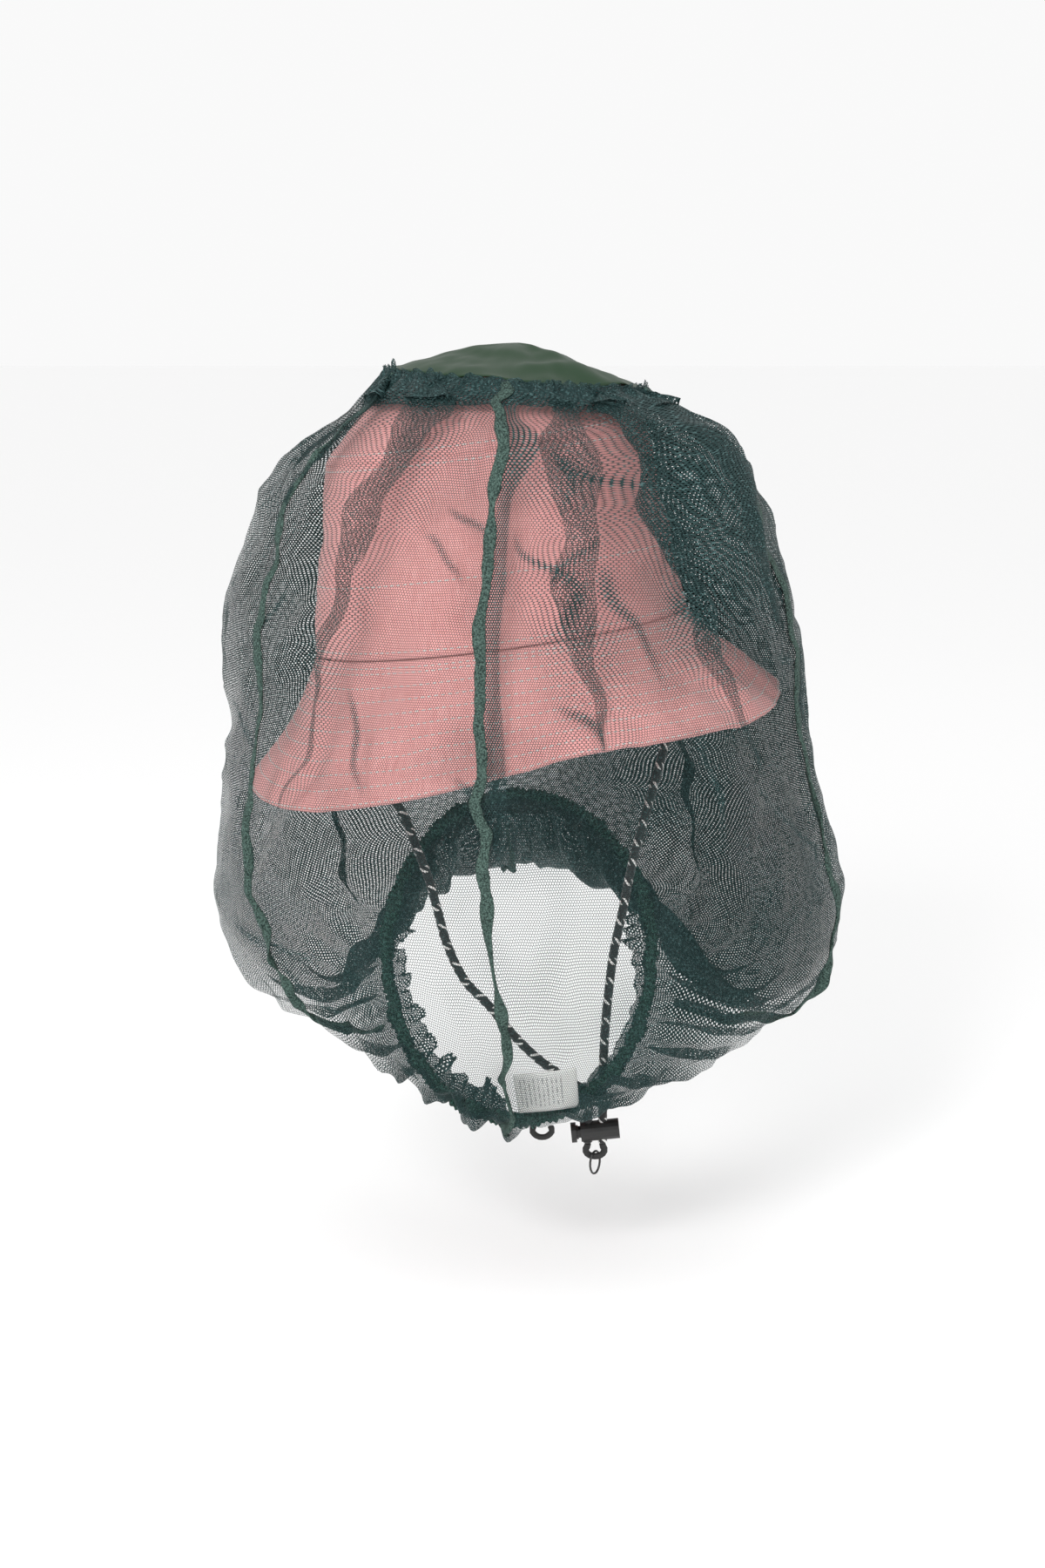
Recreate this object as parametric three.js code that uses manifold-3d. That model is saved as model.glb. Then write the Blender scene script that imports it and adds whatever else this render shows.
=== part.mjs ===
// Insect-proof head net worn over a cotton bucket hat with a chin cord.
// Millimetres, +Z up. The origin is the middle of the hat's head opening; the face looks along -Y.
// A turn is the angle round the head: 0 at the front (-Y), a quarter turn at the +X side.
// A drop runs from 0 at the top edge of a sheet to 1 at its bottom edge.

import * as THREE from 'three';
import { mergeVertices } from 'three/addons/utils/BufferGeometryUtils.js';
import Module from 'manifold-3d';

const wasm = await Module();
wasm.setup();

const fullTurn = 2 * Math.PI;
const touchGap = 0.3;

// Bucket hat
const hatTilt = THREE.MathUtils.degToRad(7.5);
const hatCloth = 1.2;
const openingHalfWidth = 98;
const openingHalfDepth = 93;
const tipHalfWidth = 84;
const tipHalfDepth = 79;
const tipShift = 5;
const crownHeight = 95;
const domeRise = 47;
const brimCloth = 1.0;
const brimReach = 40;
const brimDrop = 57;
const brimSideDroop = 8;
const brimSideFlare = 3;
const brimWave = 4;
const brimSeamGap = 0.9;
const brimLayerGap = 0.5;
const sweatbandHeight = 28;
const sweatbandCloth = 1.2;

// Chin cord and its tabs
const cordDiameter = 4.8;
const tabWidth = 10;
const tabHeight = 14;
const tabThickness = 1.5;
const tabHang = 6;
const tabClearance = 0.85;

// Cord lock
const strandSpacing = 7.7;
const holeClearance = 0.4;
const lockTilt = THREE.MathUtils.degToRad(6);
const barrelDiameter = 10.6;
const barrelWall = 1.3;
const barrelEndWall = 1.2;
const lockLength = 25.2;
const plungerTravel = 2.0;
const plungerHeadLength = 2.7;
const plungerClearance = 0.3;
const springWire = 0.7;
const springLength = 3.4;
const springTurns = 3;

// Loop and ring at the cord's end
const loopDiameter = 3.6;
const loopDrop = 7;
const loopBulge = 1.0;
const ringWire = 1.2;
const ringInnerWidth = 8;
const ringInnerHeight = 11;
const ringTwist = THREE.MathUtils.degToRad(55);

// Head net
const netCloth = 1.2;
const netShoulderLift = 0.07;
const netCentre = 4;
const capCentre = 8;
const capRadius = 66;
const capClearance = 5.5;
const capPeak = crownHeight + domeRise + capClearance;
const capEdgeLift = 34;
const capEdgeHeight = crownHeight + capEdgeLift;
const capEdgeSlope = 5;
const capCloth = 1.2;
const capEdgeGap = 1.6;
const netRows = 18;
const netLayerGap = 0.6;
const headerCloth = 0.8;
const seamWidth = 7;
const seamLift = 1.1;
const seamThickness = 1.4;
const seamGapTurn = 0.006;
const seamTurns = { front: -0.12, right: 1.36, back: 3.26, left: -1.1 };

// Elastic neck hem
const neckCentreX = 9.6;
const neckCentreY = -7;
const neckCentreZ = -173;
const neckHalfWidth = 70.5;
const neckHalfDepth = 66;
const neckHalfDrop = 73;
const elasticDiameter = 3.6;
const elasticClearance = 0.6;
const casingInnerRadius = elasticDiameter / 2 + elasticClearance;
const casingWall = 1.0;

// Label and loop sewn into the hem
const labelThickness = 0.6;
const labelSetBack = 1.8;
const labelTurns = [-0.15, 0.19];
const hemLoopDiameter = 3.2;
const hemLoopWidth = 12;
const hemLoopDrop = 5.5;
const hemLoopMiddle = 21.5;

function material(name, color, roughness, metalness = 0) {
  const finish = new THREE.MeshStandardMaterial({ color, roughness, metalness });
  finish.name = name;
  return finish;
}

const pinkCotton = () => material('pink_cotton', 0xdc9693, 0.9);
const sweatbandCotton = () => material('sweatband_cotton', 0xd9a09a, 0.9);
const greenNet = () => material('green_net', 0x28504a, 0.75);
const greenCapCloth = () => material('green_cap_cloth', 0x1e3c26, 0.6);
const seamThread = () => material('green_binding', 0x1f4a3e, 0.8);
const braidedCord = () => material('braided_cord', 0x161616, 0.85);
const blackPlastic = () => material('black_plastic', 0x151515, 0.45);
const springSteel = () => material('spring_steel', 0xa0a0a0, 0.35, 1);
const blackWire = () => material('black_coated_wire', 0x121212, 0.4, 0.6);
const elasticBraid = () => material('elastic_braid', 0x20382f, 0.9);
const labelSatin = () => material('label_satin', 0xf0f0ec, 0.6);

// Merges shared corners, drops flat faces and turns the faces outwards.
function closed(geometry) {
  geometry.deleteAttribute('normal');
  geometry.deleteAttribute('uv');
  const merged = mergeVertices(geometry, 1e-4);
  const corners = merged.getIndex().array;
  const at = merged.getAttribute('position');
  const faces = [];
  let volume = 0;
  for (let i = 0; i < corners.length; i += 3) {
    const [a, b, c] = [corners[i], corners[i + 1], corners[i + 2]];
    if (a === b || b === c || c === a) continue;
    faces.push([a, b, c]);
    const [p, q, r] = [a, b, c].map((k) => new THREE.Vector3().fromBufferAttribute(at, k));
    volume += p.dot(q.cross(r));
  }
  const ordered = faces.flatMap(([a, b, c]) => (volume < 0 ? [a, c, b] : [a, b, c]));
  merged.setIndex(ordered);
  merged.computeVertexNormals();
  return merged;
}

function part(name, geometry, finish) {
  const mesh = new THREE.Mesh(closed(geometry), finish);
  mesh.name = name;
  return mesh;
}

// A solid spun round the head. Each profile corner and turn is put in place by the given function.
function spun(profile, columns, place) {
  const reach = 10;
  const outline = profile.map(([along, across]) => new THREE.Vector2(reach + across, along));
  const geometry = new THREE.LatheGeometry(outline, columns);
  const positions = geometry.getAttribute('position');
  for (let i = 0; i < positions.count; i += 1) {
    const column = Math.floor(i / profile.length) % columns;
    const [along, across] = profile[i % profile.length];
    const point = place((fullTurn * column) / columns, along, across);
    positions.setXYZ(i, point.x, point.y, point.z);
  }
  return geometry;
}

// A slab whose length, height and thickness are bent into place by the given function.
function bent(columns, rows, place) {
  const geometry = new THREE.BoxGeometry(1, 1, 1, columns, rows, 1);
  const positions = geometry.getAttribute('position');
  for (let i = 0; i < positions.count; i += 1) {
    const [u, v, w] = [positions.getX(i) + 0.5, positions.getY(i) + 0.5, positions.getZ(i) + 0.5];
    const point = place(u, v, w);
    positions.setXYZ(i, point.x, point.y, point.z);
  }
  return geometry;
}

// The point of a sheet at a depth below its outer face.
function under(surface, turn, drop, depth) {
  const step = 1e-3;
  const here = surface(turn, drop);
  const along = surface(turn + step, drop).sub(surface(turn - step, drop));
  const down = surface(turn, drop + step).sub(surface(turn, drop - step));
  const outward = down.cross(along).normalize();
  return here.addScaledVector(outward, -depth);
}

// A closed band of cloth all round the head.
function clothRing(surface, drops, depths, columns, rows) {
  const profile = [];
  for (let row = 0; row <= rows; row += 1) profile.push([row / rows, 0]);
  for (let row = rows; row >= 0; row -= 1) profile.push([row / rows, 1]);
  profile.push([0, 0]);
  return spun(profile, columns, (turn, along, across) => {
    const drop = THREE.MathUtils.lerp(drops[0], drops[1], along);
    return under(surface, turn, drop, across === 0 ? depths[0] : depths[1]);
  });
}

// A domed round of cloth, closed at its middle.
function clothDome(surface, cloth, columns, rows) {
  const profile = [];
  for (let row = 0; row <= rows; row += 1) profile.push([row / rows, 0]);
  for (let row = rows; row >= 0; row -= 1) profile.push([row / rows, 1]);
  return spun(profile, columns, (turn, along, across) => {
    const point = surface(turn, along);
    point.z -= across * cloth;
    return point;
  });
}

// A panel of cloth between two turns.
function clothPanel(surface, turns, drops, depths, columns, rows) {
  return bent(columns, rows, (u, v, w) => {
    const turn = THREE.MathUtils.lerp(turns[0], turns[1], u);
    const drop = THREE.MathUtils.lerp(drops[0], drops[1], v);
    return under(surface, turn, drop, THREE.MathUtils.lerp(depths[0], depths[1], w));
  });
}

// A strip of the given width that runs down a sheet.
function clothStrip(surface, turn, drops, depths, width, rows) {
  return bent(1, rows, (u, v, w) => {
    const drop = THREE.MathUtils.lerp(drops[0], drops[1], v);
    const arc = surface(turn + 0.01, drop).distanceTo(surface(turn - 0.01, drop)) / 0.02;
    const side = turn + ((u - 0.5) * width) / arc;
    return under(surface, side, drop, THREE.MathUtils.lerp(depths[0], depths[1], w));
  });
}

function roundSection(diameter, sides) {
  const section = new THREE.Shape();
  for (let i = 0; i < sides; i += 1) {
    const angle = (fullTurn * i) / sides;
    const x = (diameter / 2) * Math.cos(angle);
    const y = (diameter / 2) * Math.sin(angle);
    if (i === 0) section.moveTo(x, y);
    else section.lineTo(x, y);
  }
  section.closePath();
  return section;
}

function tube(curve, diameter, sides, steps) {
  return new THREE.ExtrudeGeometry(roundSection(diameter, sides), { steps, extrudePath: curve });
}

// ---- Bucket hat, in its own upright frame ----

function ellipsePoint(halfWidth, halfDepth, turn, height, shift = 0) {
  return new THREE.Vector3(
    shift + halfWidth * Math.sin(turn), -halfDepth * Math.cos(turn), height);
}

function crownPoint(turn, drop) {
  const halfWidth = THREE.MathUtils.lerp(tipHalfWidth, openingHalfWidth, drop);
  const halfDepth = THREE.MathUtils.lerp(tipHalfDepth, openingHalfDepth, drop);
  return ellipsePoint(halfWidth, halfDepth, turn, crownHeight * (1 - drop), tipShift * (1 - drop));
}

function tipPoint(turn, along) {
  const inset = 1 - touchGap / tipHalfDepth;
  const height = crownHeight + touchGap + domeRise * (1 - along ** 2.2);
  return ellipsePoint(tipHalfWidth * along * inset, tipHalfDepth * along * inset, turn,
    height + hatCloth, tipShift);
}

// The brim hangs lower on the -X side, and stands out wider at both sides.
function brimPoint(turn, drop) {
  const reach = brimReach - brimSideFlare * Math.cos(2 * turn);
  const fall = brimDrop - brimSideDroop * Math.sin(turn) - brimWave * Math.cos(3 * turn - 0.6);
  const curl = Math.max(drop, 0) ** 1.25;
  return ellipsePoint(openingHalfWidth + reach * curl, openingHalfDepth + reach * curl, turn,
    -brimSeamGap - fall * drop);
}

function sweatbandPoint(turn, drop) {
  const lift = touchGap + sweatbandHeight * (1 - drop);
  return crownPoint(turn, 1 - lift / crownHeight);
}

function crownSide(name, fromTurn) {
  const turns = [fromTurn + seamGapTurn / 2, fromTurn + Math.PI - seamGapTurn / 2];
  return part(name, clothPanel(crownPoint, turns, [0, 1], [0, hatCloth], 16, 2), pinkCotton());
}

function crownTip() {
  return part('crown_tip', clothDome(tipPoint, hatCloth, 24, 5), pinkCotton());
}

function brimLayer(name, near) {
  return part(name, clothRing(brimPoint, [0, 1], [near, near + brimCloth], 36, 3), pinkCotton());
}

function sweatband() {
  const near = hatCloth + touchGap;
  const depths = [near, near + sweatbandCloth];
  return part('sweatband', clothRing(sweatbandPoint, [0, 1], depths, 32, 1), sweatbandCotton());
}

const crownLean = (openingHalfWidth - tipHalfWidth + tipShift) / crownHeight;
const clothAcross = (hatCloth + sweatbandCloth) * Math.hypot(1, crownLean);
const tabDepth = clothAcross + tabClearance + tabThickness / 2;
const tabRadius = openingHalfWidth - tabDepth - crownLean * (tabHeight - tabHang);

function cordTab(name, side) {
  const tab = part(name, new THREE.BoxGeometry(tabThickness, tabWidth, tabHeight), braidedCord());
  tab.position.set(side * tabRadius, 0, tabHeight / 2 - tabHang);
  return tab;
}

function bucketHat() {
  const hat = new THREE.Group();
  hat.rotation.y = -hatTilt;
  hat.add(crownTip());
  hat.add(crownSide('crown_side_front', -Math.PI / 2));
  hat.add(crownSide('crown_side_back', Math.PI / 2));
  hat.add(brimLayer('brim_upper', 0));
  hat.add(brimLayer('brim_under', brimCloth + brimLayerGap));
  hat.add(sweatband());
  hat.add(cordTab('cord_tab_left', -1));
  hat.add(cordTab('cord_tab_right', 1));
  return hat;
}

// ---- Chin cord ----

const lockCentre = new THREE.Vector3(49.45, -50, -258.8);
const strandEnd = -265.8;

const leftRoute = [
  [-91, 0, -19.2], [-88.6, -1, -30], [-79.5, -5, -52], [-64, -12, -77], [-51, -18, -97],
  [-44, -22, -114], [-38, -25, -129], [-33, -29, -146], [-28, -33, -163], [-19, -37, -181],
  [-6, -41, -194], [7, -45, -209], [20, -48, -221], [33, -49.6, -230], [42.6, -50, -236.5],
  [45.6, -50, -243], [45.6, -50, -250], [45.6, -50, -258], [45.6, -50, strandEnd],
];

const rightRoute = [
  [92.4, 0, 5], [92.4, -1, -6], [91.4, -4, -26], [88.4, -9, -50], [82, -16, -75], [76.4, -21, -94],
  [69.3, -27, -119], [63.7, -33, -145], [59.1, -37.5, -166], [56.3, -41.5, -187], [54.4, -45, -208],
  [53.5, -48, -228], [53.3, -49.7, -242], [53.3, -50, -250], [53.3, -50, -258],
  [53.3, -50, strandEnd],
];

function routeCurve(route) {
  return new THREE.CatmullRomCurve3(route.map((point) => new THREE.Vector3(...point)), false,
    'centripetal');
}

function cordStrand(name, route) {
  return part(name, tube(routeCurve(route), cordDiameter, 8, 28), braidedCord());
}

// The loop that joins the two strands below the lock, a little wider than they are apart.
function cordEndLoop() {
  const half = strandSpacing / 2;
  const top = strandEnd - touchGap;
  const points = [
    [-half, 0], [-half, -0.12 * loopDrop], [-half - loopBulge, -0.4 * loopDrop],
    [-half - 0.6 * loopBulge, -0.7 * loopDrop],
    [-0.5 * half, -0.94 * loopDrop], [0.5 * half, -0.94 * loopDrop],
    [half + 0.6 * loopBulge, -0.7 * loopDrop], [half + loopBulge, -0.4 * loopDrop],
    [half, -0.12 * loopDrop], [half, 0],
  ];
  const path = new THREE.CatmullRomCurve3(
    points.map(([x, z]) => new THREE.Vector3(lockCentre.x + x, lockCentre.y, top + z)), false,
    'centripetal');
  return part('cord_end_loop', tube(path, loopDiameter, 8, 14), braidedCord());
}

const loopBottom = strandEnd - touchGap - loopDrop;

// An oval of coated wire that hangs on the loop, twisted half way towards the front.
function endRing() {
  const height = ringInnerHeight + ringWire;
  const width = ringInnerWidth + ringWire;
  const profile = [];
  for (let i = 0; i <= 6; i += 1) {
    const angle = (fullTurn * (i % 6)) / 6;
    profile.push([(ringWire / 2) * Math.sin(angle), (ringWire / 2) * Math.cos(angle)]);
  }
  const geometry = spun(profile, 18, (turn, along, across) => {
    const round = new THREE.Vector3(Math.sin(turn), 0, Math.cos(turn));
    return new THREE.Vector3((width / 2) * round.x, along, (height / 2) * round.z)
      .addScaledVector(round, across);
  });
  const ring = part('end_ring', geometry, blackWire());
  const clearance = 0.6;
  const top = loopBottom + loopDiameter / 2 + clearance + ringWire;
  ring.rotation.z = ringTwist;
  ring.position.set(lockCentre.x, lockCentre.y, top - (height + ringWire) / 2);
  return ring;
}

// ---- Cord lock, along its own X axis with its head at -X ----

function cylinderAlongX(diameter, fromX, toX, sides = 18) {
  const geometry = new THREE.CylinderGeometry(diameter / 2, diameter / 2, toX - fromX, sides);
  geometry.rotateZ(Math.PI / 2);
  geometry.translate((fromX + toX) / 2, 0, 0);
  return closed(geometry);
}

function asSolid(geometry) {
  const vertProperties = new Float32Array(geometry.getAttribute('position').array);
  const triVerts = new Uint32Array(geometry.getIndex().array);
  return new wasm.Manifold(new wasm.Mesh({ numProp: 3, vertProperties, triVerts }));
}

function asGeometry(solid) {
  const mesh = solid.getMesh();
  const geometry = new THREE.BufferGeometry();
  geometry.setAttribute('position', new THREE.BufferAttribute(mesh.vertProperties, 3));
  geometry.setIndex(new THREE.BufferAttribute(mesh.triVerts, 1));
  return geometry;
}

const holeDiameter = cordDiameter + 2 * holeClearance;
const barrelStart = -lockLength / 2 + plungerHeadLength + plungerTravel + touchGap;
const boreEnd = lockLength / 2 - barrelEndWall;
const boreDiameter = barrelDiameter - 2 * barrelWall;

// The hole of one strand, upright while the lock is tilted.
function strandHole(x) {
  const geometry = new THREE.CylinderGeometry(holeDiameter / 2, holeDiameter / 2, 30, 14);
  geometry.rotateX(Math.PI / 2);
  geometry.rotateY(lockTilt);
  geometry.translate(x, 0, 0);
  return asSolid(closed(geometry));
}

function lockBarrel() {
  const half = strandSpacing / 2 / Math.cos(lockTilt);
  const shell = asSolid(cylinderAlongX(barrelDiameter, barrelStart, lockLength / 2))
    .subtract(asSolid(cylinderAlongX(boreDiameter, barrelStart - 1, boreEnd)))
    .subtract(strandHole(-half))
    .subtract(strandHole(half));
  return part('lock_barrel', asGeometry(shell), blackPlastic());
}

function lockPlunger() {
  const headStart = -lockLength / 2;
  const stemEnd = boreEnd - springLength - touchGap / 2;
  const slotFrom = -strandSpacing / 2 - holeDiameter / 2 - plungerTravel - 0.2;
  const slotTo = strandSpacing / 2 + holeDiameter / 2 + 0.2;
  const slot = new THREE.BoxGeometry(slotTo - slotFrom, holeDiameter, 30);
  slot.translate((slotFrom + slotTo) / 2, 0, 0);
  const stemDiameter = boreDiameter - 2 * plungerClearance;
  const head = asSolid(cylinderAlongX(barrelDiameter, headStart, headStart + plungerHeadLength));
  const stem = asSolid(cylinderAlongX(stemDiameter, headStart + 1, stemEnd));
  const solid = head.add(stem).subtract(asSolid(closed(slot)));
  return part('lock_plunger', asGeometry(solid), blackPlastic());
}

class SpringCurve extends THREE.Curve {
  getPoint(t) {
    const angle = fullTurn * springTurns * t;
    const radius = boreDiameter / 2 - plungerClearance - springWire;
    const from = boreEnd - springLength + springWire / 2 + touchGap / 2;
    const to = boreEnd - springWire / 2 - touchGap / 2;
    return new THREE.Vector3(THREE.MathUtils.lerp(from, to, t),
      radius * Math.cos(angle), radius * Math.sin(angle));
  }
}

function lockSpring() {
  return part('lock_spring', tube(new SpringCurve(), springWire, 5, 27), springSteel());
}

function cordLock() {
  const lock = new THREE.Group();
  lock.position.copy(lockCentre);
  lock.rotation.y = -lockTilt;
  lock.add(lockBarrel(), lockPlunger(), lockSpring());
  return lock;
}

// ---- Elastic neck hem ----

function neckPoint(turn) {
  return new THREE.Vector3(
    neckCentreX + neckHalfWidth * Math.sin(turn),
    neckCentreY - neckHalfDepth * Math.cos(turn),
    neckCentreZ - neckHalfDrop * Math.cos(turn));
}

const neckMiddle = new THREE.Vector3(neckCentreX, neckCentreY, neckCentreZ);

// Places a section point beside the hem line: out from the neck, and along the neck.
function besideNeck(turn, out, up) {
  const here = neckPoint(turn);
  const along = neckPoint(turn + 1e-3).sub(neckPoint(turn - 1e-3)).normalize();
  const outward = here.clone().sub(neckMiddle);
  outward.addScaledVector(along, -outward.dot(along)).normalize();
  const upward = outward.clone().cross(along).normalize();
  return here.addScaledVector(outward, out).addScaledVector(upward, up);
}

function hemElastic() {
  const profile = [];
  for (let i = 0; i <= 6; i += 1) {
    const angle = (fullTurn * (i % 6)) / 6;
    profile.push([(elasticDiameter / 2) * Math.cos(angle), (elasticDiameter / 2) * Math.sin(angle)]);
  }
  return part('hem_elastic', spun(profile, 36, besideNeck), elasticBraid());
}

// The folded hem round the elastic, open along a slit on the neck side.
function hemCasing() {
  const profile = [];
  const slit = 0.5;
  const sides = 6;
  const addArc = (radius, from, to) => {
    for (let i = 0; i <= sides; i += 1) {
      const angle = THREE.MathUtils.lerp(from, to, i / sides);
      profile.push([-radius * Math.cos(angle), radius * Math.sin(angle)]);
    }
  };
  addArc(casingInnerRadius + casingWall, slit, fullTurn - slit);
  addArc(casingInnerRadius, fullTurn - slit, slit);
  profile.push(profile[0]);
  return part('hem_casing', spun(profile, 36, besideNeck), seamThread());
}

// ---- Head net ----

// The hat over which the net's outline was taken.
const drapedHalfWidth = 98;
const drapedHalfDepth = 93;
const drapedCrownHeight = 95;
const drapedBrimReach = 40;

// Radius and height of the net down its front, its sides and its back.
const frontShape = [[84, 106], [98, 74], [108, 38], [119, -2], [131, -44], [140, -78], [135, -124],
  [125, -168], [110, -210], [94, -234]];
const sideShape = [[106, 102], [126, 77], [140, 39], [148, 4], [150, -41], [155, -86], [162, -130],
  [160, -160], [146, -188], [112, -202]];
const backShape = [[92, 104], [108, 74], [122, 38], [132, -2], [140, -44], [148, -82], [152, -116],
  [145, -143], [122, -153], [88, -138]];

function capEdge(turn) {
  return new THREE.Vector3(capCentre + capRadius * Math.sin(turn), -capRadius * Math.cos(turn),
    capEdgeHeight - capEdgeSlope * Math.sin(turn));
}

// Moves a point of the outline with the hat: higher over a taller crown, wider beside a wider brim.
function overHat(radius, height, side) {
  const lower = THREE.MathUtils.smoothstep(-height, -drapedCrownHeight, 0);
  const wider = side * (openingHalfWidth - drapedHalfWidth);
  const deeper = (1 - side) * (openingHalfDepth - drapedHalfDepth);
  const spread = wider + deeper + brimReach - drapedBrimReach;
  const taller = Math.max(0, height) * (crownHeight / drapedCrownHeight - 1);
  return [radius + lower * spread, height + taller];
}

function netShape(turn) {
  const front = Math.max(0, Math.cos(turn)) ** 2;
  const back = Math.max(0, -Math.cos(turn)) ** 2;
  const side = Math.sin(turn) ** 2;
  const points = [capEdge(turn)];
  frontShape.forEach(([frontRadius, frontHeight], i) => {
    const drapedRadius = frontRadius * front + sideShape[i][0] * side + backShape[i][0] * back;
    const drapedHeight = frontHeight * front + sideShape[i][1] * side + backShape[i][1] * back;
    const [radius, height] = overHat(drapedRadius, drapedHeight, side);
    const centre = netCentre + netShoulderLift * Math.abs(height);
    points.push(new THREE.Vector3(centre + radius * Math.sin(turn), -radius * Math.cos(turn), height));
  });
  const hem = neckPoint(turn);
  const clear = casingInnerRadius + casingWall + touchGap + netCloth;
  const fromHem = points.at(-1).clone().sub(hem).setLength(clear);
  points.push(hem.add(fromHem));
  return new THREE.CatmullRomCurve3(points, false, 'centripetal');
}

const knownShapes = new Map();

function netPoint(turn, drop) {
  if (!knownShapes.has(turn)) knownShapes.set(turn, netShape(turn));
  return knownShapes.get(turn).getPointAt(THREE.MathUtils.clamp(drop, 0, 1));
}

function capPoint(turn, along) {
  const edge = capEdge(turn);
  const share = along * (1 - capEdgeGap / capRadius);
  return new THREE.Vector3(
    THREE.MathUtils.lerp(capCentre, edge.x, share),
    THREE.MathUtils.lerp(0, edge.y, share),
    THREE.MathUtils.lerp(capPeak, edge.z, share ** 1.7));
}

function topCap() {
  return part('top_cap', clothDome(capPoint, capCloth, 28, 4), greenCapCloth());
}

function headerBand() {
  const near = netCloth + netLayerGap;
  const depths = [near, near + headerCloth];
  return part('header_band', clothRing(netPoint, [0.012, 1 / netRows], depths, 32, 1), greenNet());
}

function netPanel(name, fromTurn, toTurn, columns) {
  const turns = [fromTurn + seamGapTurn, toTurn - seamGapTurn];
  const sheet = clothPanel(netPoint, turns, [0, 1], [0, netCloth], columns, netRows);
  return part(name, sheet, greenNet());
}

function seamBinding(name, turn) {
  const depths = [-seamLift - seamThickness, -seamLift];
  const rows = netRows - 1;
  const strip = clothStrip(netPoint, turn, [0, rows / netRows], depths, seamWidth, rows);
  return part(name, strip, seamThread());
}

function careLabel() {
  const near = netCloth + labelSetBack;
  const depths = [near, near + labelThickness];
  const drops = [1 - 2 / netRows, 1 - 1 / netRows];
  return part('care_label', clothPanel(netPoint, labelTurns, drops, depths, 4, 1), labelSatin());
}

// A small loop of cord sewn under the front of the hem.
function hemLoop() {
  const turn = Math.asin((hemLoopMiddle - neckCentreX) / neckHalfWidth);
  const hem = neckPoint(turn);
  const top = hem.z - casingInnerRadius - casingWall - 1.2;
  const half = hemLoopWidth / 2 - hemLoopDiameter / 2;
  const points = [
    [-half, top], [-half - 0.6, top - hemLoopDrop * 0.5], [-half * 0.5, top - hemLoopDrop],
    [half * 0.5, top - hemLoopDrop], [half + 0.6, top - hemLoopDrop * 0.5], [half, top],
  ];
  const path = new THREE.CatmullRomCurve3(
    points.map(([x, z]) => new THREE.Vector3(hemLoopMiddle + x, hem.y, z)), false, 'centripetal');
  return part('hem_loop', tube(path, hemLoopDiameter, 8, 12), braidedCord());
}

function headNet() {
  const net = new THREE.Group();
  const { front, right, back, left } = seamTurns;
  net.add(topCap(), headerBand());
  net.add(netPanel('net_front_left', left, front, 8));
  net.add(netPanel('net_front_right', front, right, 12));
  net.add(netPanel('net_back_right', right, back, 14));
  net.add(netPanel('net_back_left', back, left + fullTurn, 14));
  net.add(seamBinding('seam_front', front), seamBinding('seam_right', right));
  net.add(seamBinding('seam_back', back), seamBinding('seam_left', left));
  net.add(hemElastic(), hemCasing(), careLabel(), hemLoop());
  return net;
}

const headNetAndHat = new THREE.Group();
headNetAndHat.add(bucketHat());
headNetAndHat.add(cordStrand('chin_cord_left', leftRoute));
headNetAndHat.add(cordStrand('chin_cord_right', rightRoute));
headNetAndHat.add(cordEndLoop(), endRing(), cordLock(), headNet());

export default headNetAndHat;
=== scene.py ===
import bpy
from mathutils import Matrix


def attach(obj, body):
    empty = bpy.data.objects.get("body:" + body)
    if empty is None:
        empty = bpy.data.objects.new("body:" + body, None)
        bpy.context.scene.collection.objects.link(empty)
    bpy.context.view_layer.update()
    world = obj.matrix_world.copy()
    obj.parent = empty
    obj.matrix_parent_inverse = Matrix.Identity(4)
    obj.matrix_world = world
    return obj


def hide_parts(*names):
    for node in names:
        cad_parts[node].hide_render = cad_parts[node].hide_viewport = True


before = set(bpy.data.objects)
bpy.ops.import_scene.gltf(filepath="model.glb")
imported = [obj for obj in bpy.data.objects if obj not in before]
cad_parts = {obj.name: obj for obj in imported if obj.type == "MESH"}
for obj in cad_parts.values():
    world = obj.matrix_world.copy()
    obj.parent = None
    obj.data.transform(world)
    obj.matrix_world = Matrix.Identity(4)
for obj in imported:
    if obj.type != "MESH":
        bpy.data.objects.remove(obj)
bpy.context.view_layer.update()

import math

import bmesh
import bpy
import numpy as np
from mathutils import Matrix, Vector

# ---- Studio ----
# A plain white floor, one large soft light from the front left, a weaker one from the right,
# and the camera a little above the top of the hat, tipped down at the whole height of the net.

scene = bpy.context.scene
scene.view_settings.view_transform = "Standard"
scene.cycles.transparent_max_bounces = 64

camera_data = bpy.data.cameras.new("camera")
camera_data.sensor_fit = "VERTICAL"
camera_data.sensor_height = 36
camera_data.lens = 59.3
camera = bpy.data.objects.new("camera", camera_data)
camera.location = (0.0114, -1.35, 0.157)
camera.rotation_euler = (math.radians(90 - 10.1), 0, 0)
scene.collection.objects.link(camera)
scene.camera = camera

world = bpy.data.worlds.new("soft_white_room")
world.use_nodes = True
world.node_tree.nodes["Background"].inputs["Color"].default_value = (1, 1, 1, 1)
world.node_tree.nodes["Background"].inputs["Strength"].default_value = 0.95
scene.world = world


def soft_light(name, place, target, size, power):
    lamp = bpy.data.lights.new(name, "AREA")
    lamp.size = size
    lamp.energy = power
    lamp_object = bpy.data.objects.new(name, lamp)
    lamp_object.location = place
    aim = Vector(target) - Vector(place)
    lamp_object.rotation_euler = aim.to_track_quat("-Z", "Y").to_euler()
    scene.collection.objects.link(lamp_object)


soft_light("key_light", (-0.55, -1.5, 0.75), (0, 0, -0.05), 0.5, 20)
soft_light("fill_light", (1.3, -0.9, 0.2), (0, 0, -0.05), 0.8, 4)


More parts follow.
